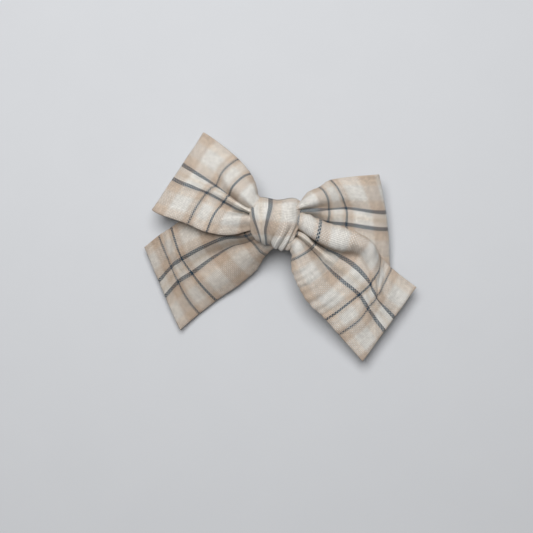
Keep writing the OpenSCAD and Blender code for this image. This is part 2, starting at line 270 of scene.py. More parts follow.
def fabric_object(name, points, cloth, material, half=HALF_THICKNESS, rim=0.9):
    """A closed layer of cloth: a grid thickened to both sides, with rounded edges and ends."""
    rows, cols = points.shape[:2]
    width = cloth[0, :, 1]
    from_edge = np.minimum(abs(width - width[0]), abs(width[-1] - width))
    side = np.sqrt(1 - (1 - np.clip(from_edge / rim, 0, 1)) ** 2)
    thick = np.broadcast_to(side, (rows, cols)).copy()
    ramp = 0.25 + 0.75 * np.sqrt(1 - (1 - np.arange(4) / 3) ** 2)
    thick[:4] *= ramp[:, None]
    thick[-4:] *= ramp[::-1, None]
    offset = half * thick[..., None] * normals(points)
    top = points + offset
    under = points - offset
    ring = np.concatenate([top, under[:, -2:0:-1]], axis=1)
    ring_cloth = np.concatenate([cloth, cloth[:, -2:0:-1] + np.array([REPEAT / 2, 0])], axis=1)
    around = ring.shape[1]
    i, j = np.meshgrid(np.arange(rows - 1), np.arange(around), indexing="ij")
    k = (j + 1) % around
    low, high = i * around, (i + 1) * around
    quads = np.stack([low + j, low + k, high + k, high + j], axis=-1)
    faces = quads.reshape(-1, 4).tolist()
    for row, flip in ((0, False), (rows - 1, True)):
        base = row * around
        for j in range(cols - 1):
            under_j, under_next = base + (around - j) % around, base + around - j - 1
            cap = [base + j, under_j, under_next, base + j + 1]
            cap = list(dict.fromkeys(cap))
            faces.append(cap[::-1] if flip else cap)
    return make_mesh(name, ring.reshape(-1, 3), faces, material, ring_cloth.reshape(-1, 2))


def tube(name, path, radius, material, sides=10):
    """A round wire or thread along a path, with domed ends.

    radius is one number, or one for each point.
    """
    path = np.asarray(path, float)
    radius = np.broadcast_to(radius, len(path)).astype(float)
    heading = np.gradient(path, axis=0)
    heading /= np.linalg.norm(heading, axis=1, keepdims=True)
    dome = np.array([0.1, 0.6, 0.9])
    sunk = np.sqrt(1 - dome**2)
    first = path[0] - heading[0] * (radius[0] * sunk)[:, None]
    last = path[-1] + heading[-1] * (radius[-1] * sunk[::-1])[:, None]
    path = np.concatenate([first, path, last])
    heading = np.concatenate([heading[[0, 0, 0]], heading, heading[[-1, -1, -1]]])
    radius = np.concatenate([radius[0] * dome, radius, radius[-1] * dome[::-1]])
    side = np.cross(heading[0], (0.3, 0.5, 0.8))
    turn = np.linspace(0, 2 * math.pi, sides, endpoint=False)
    rings = []
    for point, forward, size in zip(path, heading, radius):
        side = side - forward * (side @ forward)
        side /= np.linalg.norm(side)
        up = np.cross(forward, side)
        rings.append(point + size * (np.cos(turn)[:, None] * side + np.sin(turn)[:, None] * up))
    faces = [list(range(sides))[::-1], [(len(path) - 1) * sides + k for k in range(sides)]]
    for i in range(len(path) - 1):
        for k in range(sides):
            low, high = i * sides, (i + 1) * sides
            faces.append([low + k, low + (k + 1) % sides, high + (k + 1) % sides, high + k])
    gone = np.concatenate([[0], np.cumsum(np.linalg.norm(np.diff(path, axis=0), axis=1))])
    around = np.broadcast_to(turn, (len(path), sides))
    cloth = np.stack([np.broadcast_to(gone[:, None], around.shape), around], axis=2)
    return make_mesh(name, np.concatenate(rings), faces, material, cloth.reshape(-1, 2))


def make_mesh(name, points, faces, material, cloth=None):
    """A smooth-shaded object from points in millimetres, with its cloth coordinates as a UV map."""
    mesh = bpy.data.meshes.new(name)
    mesh.from_pydata((np.asarray(points) * MM).tolist(), [], faces)
    mesh.polygons.foreach_set("use_smooth", [True] * len(mesh.polygons))
    if cloth is not None:
        layer = mesh.uv_layers.new(name="cloth")
        corners = np.empty(len(mesh.loops), int)
        mesh.loops.foreach_get("vertex_index", corners)
        layer.data.foreach_set("uv", np.asarray(cloth, float)[corners].ravel())
    mesh.update()
    mesh.validate()
    obj = bpy.data.objects.new(name, mesh)
    bpy.context.collection.objects.link(obj)
    obj.data.materials.append(material)
    return obj


# ---------------------------------------------------------------- materials

class Nodes:
    """Short calls for building one material's node tree."""

    def __init__(self, name):
        self.material = bpy.data.materials.new(name)
        self.material.use_nodes = True
        self.tree = self.material.node_tree
        self.shader = self.tree.nodes["Principled BSDF"]

    def put(self, value, socket):
        if isinstance(value, bpy.types.NodeSocket):
            self.tree.links.new(value, socket)
        else:
            socket.default_value = value

    def add(self, kind, inputs=None, **settings):
        node = self.tree.nodes.new("ShaderNode" + kind)
        for key, value in settings.items():
            setattr(node, key, value)
        for key, value in (inputs or {}).items():
            self.put(value, node.inputs[key])
        return node

    def math(self, operation, *values):
        node = self.add("Math", operation=operation)
        for socket, value in zip(node.inputs, values):
            self.put(value, socket)
        return node.outputs[0]

    def mix(self, factor, a, b, blend="MIX"):
        node = self.add("MixRGB", {"Fac": factor, "Color1": a, "Color2": b}, blend_type=blend)
        return node.outputs[0]

    def bands(self, factor, bands, length):
        """Colour bands from a list of (start, colour). Blue has clean edges and the rest soft ones."""
        node = self.add("ValToRGB", {"Fac": factor})
        ramp = node.color_ramp
        ramp.elements[0].color = (*bands[0][1], 1)
        for (_, before), (start, after) in zip(bands, bands[1:]):
            blur = CLEAN_EDGE if BLUE in (before, after) else SOFT_EDGE
            ramp.elements.new((start - blur) / length).color = (*before, 1)
            ramp.elements.new((start + blur) / length).color = (*after, 1)
        ramp.elements[-1].color = (*bands[-1][1], 1)
        return node.outputs[0]

    def vector(self, x, y, z=0.0):
        return self.add("CombineXYZ", {"X": x, "Y": y, "Z": z}).outputs[0]

    def noise(self, vector, scale, detail=2.0, roughness=0.5):
        made = self.add(
            "TexNoise", {"Vector": vector, "Scale": scale, "Detail": detail, "Roughness": roughness}
        )
        return made.outputs[0]

    def red(self, colour):
        return self.add("SeparateColor", {"Color": colour}).outputs[0]

    def remap_to(self, share, low, high):
        """low where share is 0 and high where it is 1, both of them changing over the cloth."""
        return self.math("ADD", low, self.math("MULTIPLY", share, self.math("SUBTRACT", high, low)))

    def remap(self, value, low, high, to_low, to_high):
        made = self.add(
            "MapRange",
            {"Value": value, "From Min": low, "From Max": high, "To Min": to_low, "To Max": to_high},
        )
        return made.outputs[0]

    def bump(self, height, strength, distance):
        made = self.add("Bump", {"Height": height, "Strength": strength, "Distance": distance})
        self.put(made.outputs[0], self.shader.inputs["Normal"])

    def finish(self, colour, roughness, sheen=0.0, metallic=0.0):
        self.put(colour, self.shader.inputs["Base Color"])
        self.put(roughness, self.shader.inputs["Roughness"])
        self.shader.inputs["Metallic"].default_value = metallic
        self.shader.inputs["Sheen Weight"].default_value = sheen
        return self.material


def grey(value):
    return (value, value, value, 1)


# How a yarn swells along itself and differs from its neighbour, and how much more of the darker
# yarn shows where a light and a dark one cross.
SLUB_ALONG = 0.16
SLUB_ACROSS = 3.7
DARK_LEAD = 0.4


def plaid(name, stripe_start, direction, shade_tint=(1, 1, 1)):
    """Plain-woven yarn-dyed cotton. Every yarn has one colour, and the weave shows one or the other.

    stripe_start is the cloth length at the middle of a pair of crossing stripes, and direction,
    1 or -1, is the way that the repeat runs from there. The last argument is a tint over all the
    colours: painted shade that darkens a whole lobe lying in shadow, or white for none.
    """
    n = Nodes(name)
    split = n.add("SeparateXYZ", {"Vector": n.add("UVMap", uv_map="cloth").outputs[0]})
    u, v = split.outputs[0], split.outputs[1]
    yarn_u = n.math("DIVIDE", u, YARN)
    yarn_v = n.math("DIVIDE", v, YARN)
    centre_u = n.math("MULTIPLY", n.math("ADD", n.math("FLOOR", yarn_u), 0.5), YARN)
    centre_v = n.math("MULTIPLY", n.math("ADD", n.math("FLOOR", yarn_v), 0.5), YARN)
    from_middle = n.math("ABSOLUTE", n.math("SUBTRACT", centre_v, STRIPE_CENTRE))
    warp = n.bands(n.math("DIVIDE", from_middle, STRIPE_CENTRE), ACROSS, STRIPE_CENTRE)
    gone = n.math("MULTIPLY", n.math("SUBTRACT", centre_u, stripe_start), direction / REPEAT)
    weft = n.bands(n.math("FRACT", gone), ALONG, REPEAT)

    # Each yarn swells and thins along its length, and is a little lighter or darker than the next.
    place_warp = n.vector(n.math("MULTIPLY", u, SLUB_ALONG), n.math("MULTIPLY", centre_v, SLUB_ACROSS))
    place_weft = n.vector(
        n.math("MULTIPLY", centre_u, SLUB_ACROSS), n.math("MULTIPLY", v, SLUB_ALONG), 5.0
    )
    slub_warp = n.remap(n.noise(place_warp, 1.0, 3), 0.3, 0.7, 0.9, 1.08)
    slub_weft = n.remap(n.noise(place_weft, 1.0, 3), 0.3, 0.7, 0.9, 1.08)
    warp = n.mix(1.0, warp, n.vector(slub_warp, slub_warp, slub_warp), "MULTIPLY")
    weft = n.mix(1.0, weft, n.vector(slub_weft, slub_weft, slub_weft), "MULTIPLY")

    step = n.math("ADD", n.math("FLOOR", yarn_u), n.math("FLOOR", yarn_v))
    checker = n.math("GREATER_THAN", n.math("FRACT", n.math("MULTIPLY", step, 0.5)), 0.25)
    darker = n.math("MINIMUM", n.red(warp), n.red(weft))
    lead = n.math("MULTIPLY", n.math("SUBTRACT", n.red(weft), n.red(warp)), DARK_LEAD)
    least = n.remap(darker, 0.1, 0.5, 0.09, 0.28)
    most = n.remap(darker, 0.1, 0.5, 0.91, 0.72)
    over = n.math("SUBTRACT", n.remap_to(checker, least, most), lead)
    pillow_u = n.math("SINE", n.math("MULTIPLY", n.math("FRACT", yarn_u), math.pi))
    pillow_v = n.math("SINE", n.math("MULTIPLY", n.math("FRACT", yarn_v), math.pi))
    height = n.math("MULTIPLY", n.math("POWER", pillow_u, 0.6), n.math("POWER", pillow_v, 0.6))
    colour = n.mix(over, warp, weft)
    # Painted shade and highlight: each yarn is darker where it dips under its neighbours and lighter on
    # its crown.
    colour = n.mix(1.0, colour, n.mix(height, grey(0.62), grey(1.12)), "MULTIPLY")

    fuzz = n.noise(n.vector(u, v), 3.1, 4, 0.7)
    mottle = n.noise(n.vector(u, v, 3.0), 0.22, 3)
    cloud = n.remap(n.noise(n.vector(u, v, 8.0), 0.5, 3, 0.6), 0.3, 0.7, 0.95, 1.04)
    grain = n.noise(n.vector(u, v, 13.0), 0.95, 3, 0.7)
    cloud = n.math("MULTIPLY", cloud, n.remap(grain, 0.35, 0.65, 0.9, 1.07))
    colour = n.mix(1.0, colour, n.mix(fuzz, grey(0.93), grey(1.06)), "MULTIPLY")
    colour = n.mix(1.0, colour, n.mix(mottle, (0.93, 0.90, 0.86, 1), (1.06, 1.06, 1.06, 1)), "MULTIPLY")
    colour = n.mix(1.0, colour, n.vector(cloud, cloud, cloud), "MULTIPLY")
    # Painted shade: the tint darkens every colour of a lobe that lies in shadow.
    colour = n.mix(1.0, colour, (*shade_tint, 1), "MULTIPLY")
    rough = n.math("ADD", n.math("MULTIPLY", fuzz, 0.6), n.math("MULTIPLY", grain, 2.6))
    n.bump(n.math("ADD", height, rough), 0.7, 0.00014)
    return n.finish(colour, n.remap(fuzz, 0.3, 0.7, 0.82, 0.96), sheen=0.08)


# ---------------------------------------------------------------- the lobes

# Soft fold at a loop's end, and the spacing of the cloth's points before and after it settles.
FOLD_RADIUS = 1.15
STEP = 0.8
FINE_STEP = 0.42
ROUNDS = 260
# How hard a lobe's points are held to their drawn place: level, upright and at its edges.
HOLD_LEVEL = 0.05
HOLD_UPRIGHT = 0.03
HOLD_EDGE = 0.1
# How far the rows outside a gather may keep the lengths they were drawn with.
LEAST_FREEDOM = 0.3


def fold_rows(guides, upper, lower, outward, z, bulge=(0, 0, 0), askew=(0, 0, 0)):
    """Front, outermost and back rows of the soft fold at a loop's end.

    askew is the cloth length of the outermost row, at its start, middle and end.
    """
    reach = math.pi / 2 * FOLD_RADIUS
    rows = []
    for length, inset, side in ((reach, FOLD_RADIUS, 1), (0, 0, 0), (-reach, FOLD_RADIUS, -1)):
        shift = np.array([-inset * math.cos(outward), -inset * math.sin(outward), side * FOLD_RADIUS])
        row = even(guides, (*upper, z[0]), (*lower, z[1]), bulge) + shift
        rows.append((length + np.array(askew), row))
    return rows


def lobe(name, rows, guides, material, gathered, phase, ripple, reach):
    """One lobe of the bow from its rows, as cloth with its own length and width everywhere.

    gathered holds the cloth lengths, at each end of the strip, past which the cloth is pinched.
    """
    rows = sorted(rows, key=lambda r: np.mean(r[0]))
    points, cloth = surface(rows, guides, STEP)
    middle = cloth[..., 0].mean(axis=1)
    freedom = np.full(len(middle), LEAST_FREEDOM)
    root = np.zeros(len(middle), bool)
    for start, end in gathered:
        freedom = np.maximum(freedom, np.clip((middle - start) / (end - start), 0, 1))
        root |= (middle - end) / (end - start) > 0
    hold = hold_field(cloth, HOLD_LEVEL, HOLD_UPRIGHT, HOLD_EDGE, root)
    points = relax(points, cloth, hold, freedom, ROUNDS)
    points, cloth = resample(soften(points, 5, 1.1 - freedom), cloth, FINE_STEP)
    points = pucker(points, cloth, ripple, phase, reach)
    if normals(points)[cloth[..., 0] > 0][:, 2].mean() < 0:
        points, cloth = points[:, ::-1], cloth[:, ::-1]
    return fabric_object(name, points, cloth, material)


def upper_left_loop():
    g = [0, 5, 9.5, 12.2, STRIPE_A, STRIPE_CENTRE, STRIPE_B, 23.5, 27.5, 31.5, STRIP_WIDTH]
    knot_row = [
        (-5.9, 10.6, 8.6), (-6.8, 9.7, 12.2), (-8.2, 7.2, 13.2), (-8.5, 6.1, 10.4), (-8.7, 5.7, 8.0),
        (-8.9, 5.2, 12.2), (-9.2, 4.7, 8.4), (-9.5, 4.4, 5.8), (-9.7, 2.6, 11.4), (-9.3, -0.2, 9.6),
        (-8.9, -1.8, 8.8),
    ]
    back_row = even(g, (-6.4, 8.5, 7.4), (-8.6, -1.5, 7.0), pleat=0.8)
    rows = fold_rows(g, (-25.9, 34.0), (-44.7, 5.6), math.radians(146.3), (4.6, 4.2))
    rows += [
        (15.4, [
            (-13.0, 24.1, 6.4), (-16.8, 21.4, 8.6), (-19.5, 18.2, 8.8), (-20.4, 15.6, 7.4),
            (-21.5, 14.2, 6.2), (-23.0, 13.2, 8.4), (-24.7, 12.0, 7.8), (-26.4, 9.7, 7.4),
            (-28.5, 6.6, 7.6), (-30.5, 2.9, 7.4), (-31.7, 0.4, 6.6),
        ]),
        (22.8, [
            (-8.8, 18.6, 8.0), (-11.8, 17.0, 11.8), (-15.4, 13.2, 12.8), (-16.0, 11.8, 9.8),
            (-16.5, 10.9, 6.8), (-17.2, 10.1, 10.4), (-18.3, 8.8, 8.0), (-20.0, 6.8, 6.8),
            (-22.0, 3.8, 8.2), (-23.9, 0.1, 7.6), (-24.9, -2.5, 6.8),
        ]),
        ((28.1, 28.2, 31.6), [
            (-6.9, 14.4, 8.6), (-8.6, 13.6, 12.8), (-11.6, 10.6, 14.0), (-12.4, 8.8, 11.0),
            (-12.7, 8.2, 7.8), (-13.1, 7.4, 12.2), (-13.9, 6.4, 8.8), (-14.4, 5.0, 6.2),
            (-15.2, 2.8, 11.4), (-15.7, -0.8, 9.6), (-16.2, -3.5, 8.2),
        ]),
        ((32.9, 33.6, 39.0), knot_row),
        ((38.9, 39.6, 45.0), tucked(knot_row, 5.0, 0.6)),
        (-15.4, even(g, (-15.0, 22.6, 3.2), (-31.6, 1.2, 2.8), (0, 0, -0.4))),
        (-25.5, even(g, (-9.4, 14.5, 5.2), (-18.0, -2.0, 4.6), pleat=0.6)),
        (-33.5, back_row),
        (-39.5, tucked(back_row, 5.0, 0.6)),
    ]
    return rows, g


def upper_right_loop():
    g = [0, 5, 9, 11.8, STRIPE_A, STRIPE_CENTRE, STRIPE_B, 27, STRIP_WIDTH]
    knot_row = [
        (9.4, 8.4, 8.6), (9.5, 8.1, 12.4), (9.7, 6.7, 14.2), (9.5, 5.8, 8.8), (9.4, 5.2, 12.0),
        (9.5, 4.3, 8.4), (9.5, 3.6, 5.8), (9.7, 1.0, 4.6), (9.9, -2.0, 5.4),
    ]
    back_row = even(g, (9.6, 6.8, 6.0), (9.9, -2.2, 4.2), pleat=0.8)
    rows = fold_rows(
        g, (37.8, 18.8), (42.2, -14.6), math.radians(7.1), (3.8, -2.0), (1.0, 0, 0), (-1.4, 0.6, 0.6)
    )
    rows += [
        (16.5, [
            (19.9, 16.5, 6.2), (22.2, 13.4, 9.4), (24.2, 10.0, 9.2), (25.2, 8.0, 7.0), (25.8, 6.5, 6.0),
            (25.9, 3.6, 6.6), (25.7, 0.6, 5.6), (26.4, -5.4, 3.3), (27.5, -11.9, -1.2),
        ]),
        (23.9, [
            (15.9, 13.8, 8.4), (17.6, 11.8, 12.0), (19.0, 9.2, 11.4), (19.2, 7.2, 9.2), (19.3, 5.9, 8.2),
            (19.4, 3.6, 9.0), (19.1, 1.4, 6.6), (19.6, -3.2, 4.9), (20.6, -8.6, 2.2),
        ]),
        ((29.2, 29.6, 30.4), [
            (11.6, 11.6, 8.4), (13.2, 10.2, 12.8), (14.0, 7.7, 13.2), (13.9, 6.3, 9.0),
            (13.9, 5.4, 11.4), (14.0, 4.1, 8.4), (13.9, 3.0, 5.8), (14.2, -0.6, 3.8), (14.6, -4.6, 3.2),
        ]),
        ((33.6, 34.2, 35.6), knot_row),
        ((39.4, 40.0, 41.4), tucked(knot_row, -5.0, 0.6)),
        (-16.5, even(g, (20.9, 15.8, 2.0), (27.2, -12.0, -2.4), (0, 0, 3.9))),
        (-26, even(g, (13.4, 10.6, 3.8), (16.4, -7.0, 2.6), (0, 0, 0.8), pleat=0.4)),
        (-33, back_row),
        (-39, tucked(back_row, -5.0, 0.6)),
    ]
    return rows, g


def lower_left_tail():
    g = [0, 5, 10, STRIPE_A, STRIPE_CENTRE, STRIPE_B, 24, 29, STRIP_WIDTH]
    knot_row = [
        (-12.6, 4.0, 3.2), (-12.2, 2.0, 4.0), (-11.8, -1.4, 4.6), (-11.4, -3.8, 5.2),
        (-10.6, -4.9, 3.4), (-9.8, -5.8, 1.6), (-8.2, -7.4, 3.8), (-6.0, -9.6, 4.4), (-3.5, -10.9, 2.2),
    ]
    rows = [
        ((0, -0.8, -0.6), even(g, (-48.1, -7.7, -2.2), (-35.2, -38.6, -3.0))),
        (7.3, [
            (-42.5, -3.2, -1.6), (-40.9, -7.4, -0.8), (-39.2, -11.4, -0.4), (-37.8, -14.7, -0.6),
            (-36.7, -17.4, -0.8), (-35.4, -20.3, -1.0), (-33.8, -23.8, -1.6), (-31.0, -28.4, -3.0),
            (-27.8, -32.2, -4.6),
        ]),
        (14.7, [
            (-38.0, -0.4, -0.8), (-36.9, -4.6, 0.8), (-35.6, -8.4, 1.6), (-34.3, -11.9, 1.4),
            (-32.6, -14.6, 0.0), (-30.5, -17.5, -0.8), (-28.1, -20.4, -0.4), (-24.9, -24.0, -1.8),
            (-21.6, -27.4, -4.6),
        ]),
        (25, [
            (-28.8, 5.6, 0.2), (-27.6, 1.4, 1.2), (-26.4, -3.4, 1.8), (-25.3, -7.0, 1.8),
            (-24.0, -9.2, -0.8), (-22.5, -11.4, -2.4), (-19.9, -14.2, 1.0), (-16.6, -18.2, 0.4),
            (-12.8, -21.6, -3.6),
        ]),
        (33, [
            (-20.5, 5.5, 2.7), (-19.6, 2.4, 2.9), (-18.8, -1.4, 3.1), (-17.9, -4.2, 3.9),
            (-16.8, -5.8, 2.0), (-15.6, -7.3, -1.6), (-13.4, -9.4, 2.4), (-10.4, -13.0, 2.0),
            (-6.9, -16.2, -2.2),
        ]),
        ((41.2, 39.6, 40.2), knot_row),
        ((47.2, 45.6, 46.4), tucked(knot_row, 5.0, 0.55)),
    ]
    return rows, g


def lower_right_tail():
    g = [0, 3.0, 6.4, 9.9, 11.8, STRIPE_A, STRIPE_CENTRE, STRIPE_B, 24.5, 29.5, STRIP_WIDTH]
    knot_row = [
        (9.4, 3.6, 8.8), (9.6, 4.0, 12.2), (9.4, 1.6, 14.2), (8.9, -1.2, 11.6), (9.0, -1.6, 8.8),
        (9.0, -2.4, 6.8), (9.2, -3.3, 11.6), (9.0, -4.3, 7.0), (8.2, -5.8, 11.2), (6.8, -7.6, 11.0),
        (5.4, -8.8, 8.0),
    ]
    rows = [
        ((0, 0, -1.6), even(g, (51.8, -22.4, 1.2), (32.1, -49.6, 0.8))),
        (11.3, [
            (42.9, -15.1, 0.4), (41.4, -18.0, 2.6), (39.5, -21.4, 4.2), (38.1, -23.8, 4.8),
            (37.6, -25.0, 4.8), (37.0, -25.9, 4.6), (35.6, -28.0, 4.2), (33.9, -30.3, 3.6),
            (31.3, -33.8, 4.4), (27.5, -37.0, 4.4), (23.1, -39.8, 3.4),
        ]),
        (19.3, [
            (38.2, -10.5, 0.8), (38.1, -12.9, 3.8), (37.4, -15.8, 6.2), (35.9, -18.6, 6.6),
            (35.2, -20.0, 6.8), (34.6, -21.0, 7.0), (32.6, -22.8, 6.4), (30.3, -24.9, 5.4),
            (27.0, -27.4, 6.4), (22.6, -30.8, 6.4), (17.7, -34.0, 5.0),
        ]),
        (27.6, [
            (33.0, -4.6, 4.6), (34.8, -5.4, 9.4), (33.4, -7.8, 12.6), (31.0, -10.4, 8.8),
            (30.4, -11.8, 5.4), (28.7, -15.0, 7.8), (26.6, -17.4, 7.8), (24.0, -19.9, 5.8),
            (20.8, -22.6, 8.2), (16.5, -25.9, 8.6), (12.0, -28.3, 6.6),
        ]),
        ((35.2, 35.3, 34.8), [
            (24.6, -2.0, 5.8), (25.7, -1.7, 10.2), (25.0, -5.0, 13.6), (24.2, -8.9, 10.8),
            (23.8, -8.7, 5.2), (22.3, -10.9, 5.0), (20.8, -12.9, 9.0), (18.9, -15.0, 5.4),
            (16.0, -17.2, 9.8), (12.2, -20.2, 10.2), (8.4, -22.1, 8.0),
        ]),
        ((43.2, 43.0, 42.4), [
            (17.4, 0.2, 7.0), (18.2, 0.9, 10.8), (17.8, -2.4, 14.0), (17.2, -6.6, 11.6),
            (16.9, -6.0, 6.4), (16.5, -7.4, 4.8), (15.7, -8.7, 10.0), (14.6, -10.0, 5.8),
            (12.4, -11.6, 10.6), (8.8, -13.8, 11.2), (6.0, -15.4, 9.0),
        ]),
        ((51.4, 50.8, 49.4), knot_row),
        ((57.4, 56.8, 55.4), tucked(knot_row, -5.0, 0.6)),
    ]
    return rows, g


# Tints over a lobe's plaid: none, and painted shade that darkens the whole of a lobe lying in shadow.
NO_SHADE_TINT = (1, 1, 1)
PAINTED_SHADE_TINT = (0.80, 0.765, 0.735)

LOBES = {
    # name: (rows, middle of a crossing pair, way of the repeat, tint (painted shade), gathered
    #        stretches, (phase, height, reach) of the ripples)
    "lower_left_tail": (lower_left_tail, 11.0, 1, PAINTED_SHADE_TINT, [(20, 36)], (0.6, 0.14, 3.0)),
    "upper_right_loop": (
        upper_right_loop, 20.2, -1, NO_SHADE_TINT, [(19, 31), (-24, -33)], (1.9, 0.12, 2.5)
    ),
    "upper_left_loop": (
        upper_left_loop, 19.1, -1, NO_SHADE_TINT, [(18, 31), (-24, -33)], (3.1, 0.14, 4.0)
    ),
    "lower_right_tail": (lower_right_tail, 15.3, 1, NO_SHADE_TINT, [(18, 38)], (4.4, 0.3, 8.0)),
}

for name, (shape, stripes, direction, shade_tint, gathered, ripples) in LOBES.items():
    rows, guides = shape()
    cloth_material = plaid("plaid_" + name, stripes, direction, shade_tint)
    piece = lobe("cloth_" + name, rows, guides, cloth_material, gathered, *ripples)
    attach(piece, "bow")
    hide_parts(name)


# ---------------------------------------------------------------- the knot

def knot_rows():
    """The knot strip from its start behind the waist, over the top, down the front and back under.

    On the front it is pinched together downwards: a valley parts a rounded left lobe from a right
    one, and two creases part the right lobe into three stacked pleats.
    """
    valley, ridge_1, crease_1, ridge_2, crease_2, ridge_3 = 24.5, 26.5, 28.5, 29.7, 31, 32.3
    g = [
        10, STRIPE_A, STRIPE_CENTRE, STRIPE_B, 22.5,
        valley, ridge_1, crease_1, ridge_2, crease_2, ridge_3, STRIP_WIDTH,
    ]
    start = [v - g[0] for v in g]
    rows = [
        (-13, even(start, (-7.8, -1.5, 4.5), (7.8, -1.5, 4.5))),
        (-8.5, even(start, (-8.0, 4.0, 4.7), (8.4, 4.0, 4.7))),
        (-4, even(start, (-8.2, 7.6, 6.6), (9.0, 7.4, 6.6), (0, 0.9, 0))),
        (0, [
            (-8.2, 7.4, 9.2), (-7.5, 8.6, 10.0), (-5.0, 9.8, 10.4), (-1.5, 9.1, 10.6),
            (0.6, 8.6, 10.6), (2.6, 8.8, 10.8), (4.6, 9.3, 10.8), (6.4, 9.5, 10.6),
            (7.6, 9.2, 10.4), (8.5, 8.6, 10.0), (9.2, 7.8, 9.6), (9.5, 7.0, 9.2),
        ]),
        (4.5, [
            (-8.9, 5.6, 10.2), (-7.8, 6.0, 12.8), (-5.0, 6.6, 14.7), (-1.6, 6.3, 14.9),
            (0.6, 6.2, 14.7), (2.4, 6.3, 15.0), (4.2, 6.5, 15.2), (6.0, 6.5, 14.9),
            (7.0, 6.4, 14.2), (7.9, 6.2, 13.0), (8.7, 5.9, 11.6), (9.1, 5.6, 10.0),
        ]),
        (9, [
            (-9.0, 1.6, 10.4), (-7.2, 2.2, 14.0), (-4.8, 2.0, 15.6), (-2.7, 2.2, 15.7),
            (-0.4, 1.9, 15.3), (1.8, 1.4, 14.9), (3.8, 1.6, 16.0), (5.6, 1.4, 15.6),
            (6.7, 1.2, 15.0), (7.5, 0.9, 13.6), (8.1, 0.7, 12.4), (8.4, 0.6, 10.6),
        ]),
        (13.5, [
            (-8.7, -2.2, 10.2), (-5.9, -1.6, 14.4), (-4.7, -2.0, 15.0), (-3.7, -1.6, 15.0),
            (-1.4, -2.0, 13.8), (0.3, -2.6, 12.9), (2.6, -2.6, 15.4), (5.0, -1.9, 13.7),
            (5.9, -1.8, 14.6), (6.8, -1.6, 12.4), (7.4, -1.7, 12.9), (7.7, -1.8, 10.6),
        ]),
        (18, [
            (-7.3, -4.6, 9.2), (-4.9, -4.6, 12.4), (-4.3, -5.2, 12.9), (-3.6, -4.9, 12.6),
            (-2.0, -5.0, 10.8), (-1.1, -5.0, 9.4), (0.6, -6.2, 13.0), (2.5, -6.0, 10.4),
            (3.5, -6.6, 12.6), (4.6, -6.1, 9.8), (5.6, -6.0, 11.6), (6.5, -5.0, 9.2),
        ]),
        (21.5, [
            (-6.4, -5.0, 7.0), (-4.7, -5.8, 9.0), (-4.0, -6.4, 9.6), (-3.2, -6.5, 9.4),
            (-2.0, -5.8, 8.2), (-1.2, -5.6, 7.2), (0.0, -8.0, 9.4), (1.2, -7.7, 7.8),
            (2.2, -8.8, 9.4), (3.2, -8.0, 7.4), (4.6, -8.6, 8.8), (6.2, -6.9, 7.0),
        ]),
        (26, even(start, (-6.8, -4.6, 4.4), (7.0, -5.4, 4.4), (0, -1.0, -0.4))),
        (31, even(start, (-7.4, -0.6, 3.0), (7.6, -0.6, 3.0), (0, 0, -0.3))),
        (35.5, even(start, (-7.4, 3.8, 2.9), (7.6, 3.8, 2.9), (0, 0, -0.3))),
    ]
    return rows, g


def make_knot():
    rows, g = knot_rows()
    start = [v - g[0] for v in g]
    points, cloth = surface(rows, start, 0.3)
    cloth[..., 1] += g[0]
    points = soften(points, 2, 1)
    points = pucker(points, cloth, 0.08, 2.2)
    if normals(points)[cloth[..., 0].round() == 9][:, 2].mean() < 0:
        points, cloth = points[:, ::-1], cloth[:, ::-1]
    knot = fabric_object("cloth_knot_wrap", points, cloth, plaid("plaid_knot", -3.45, 1), half=0.5)
    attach(knot, "bow")
    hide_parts("knot_wrap")


make_knot()


# ---------------------------------------------------------------- inside and behind the knot

WAIST_HALF_LENGTH = 7.4
WAIST_HALF_HEIGHT = 4.2
WAIST_PLEATS = 5
WAIST_PLEAT_HEIGHT = 2.6
WAIST_MIDDLE = np.array([0, 0.4, 9.3])
THREAD_TURNS = 5
THREAD_PITCH = 0.45
THREAD_RADIUS = 0.13
THREAD_LOOP = np.array([0, 4.0, 3.15])
PLY_OFFSET = 0.11
PLY_TWISTS = 22
RIBBON_WIDTH = 10.0
RIB_SPACING = 0.8
RIBBON_HALF_THICKNESS = 0.19
PIVOT = np.array([7.0, 0.0, -2.0])
COIL_RADIUS = 1.35
COIL_LENGTH = 2.2
COIL_DEGREES = 1260
SPRING_WIRE_RADIUS = 0.3


def make_waist():
    """The strip's full width, pleated to and fro into a bundle and drawn in where the thread is."""
    along = np.arange(-WAIST_HALF_LENGTH, WAIST_HALF_LENGTH + 0.01, 0.37)
    across = np.arange(0, STRIP_WIDTH + 0.01, 0.4)
    u, v = np.meshgrid(along, across, indexing="ij")
    drawn_in = 1 - 0.12 * np.exp(-((u / 1.6) ** 2))
    phase = math.pi * WAIST_PLEATS * v / STRIP_WIDTH
    lean = 0.25 * np.sin(0.5 * u + v)
    y = WAIST_HALF_HEIGHT * (1 - 2 * v / STRIP_WIDTH) * drawn_in + lean
    fold = np.arcsin(0.96 * np.cos(phase)) / math.asin(0.96)
    tapered = 1 - 0.35 * (u / WAIST_HALF_LENGTH) ** 2
    z = WAIST_PLEAT_HEIGHT * fold * drawn_in * tapered * np.sqrt(1 - (y / 6) ** 2)
    cloth = np.stack([u, v], axis=2)
    piece = fabric_object(
        "cloth_gathered_waist", np.stack([u, y, z], axis=2) + WAIST_MIDDLE, cloth,
        plaid("plaid_waist", 20.0, 1), half=0.5,
    )
    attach(piece, "bow")
    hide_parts("gathered_waist")


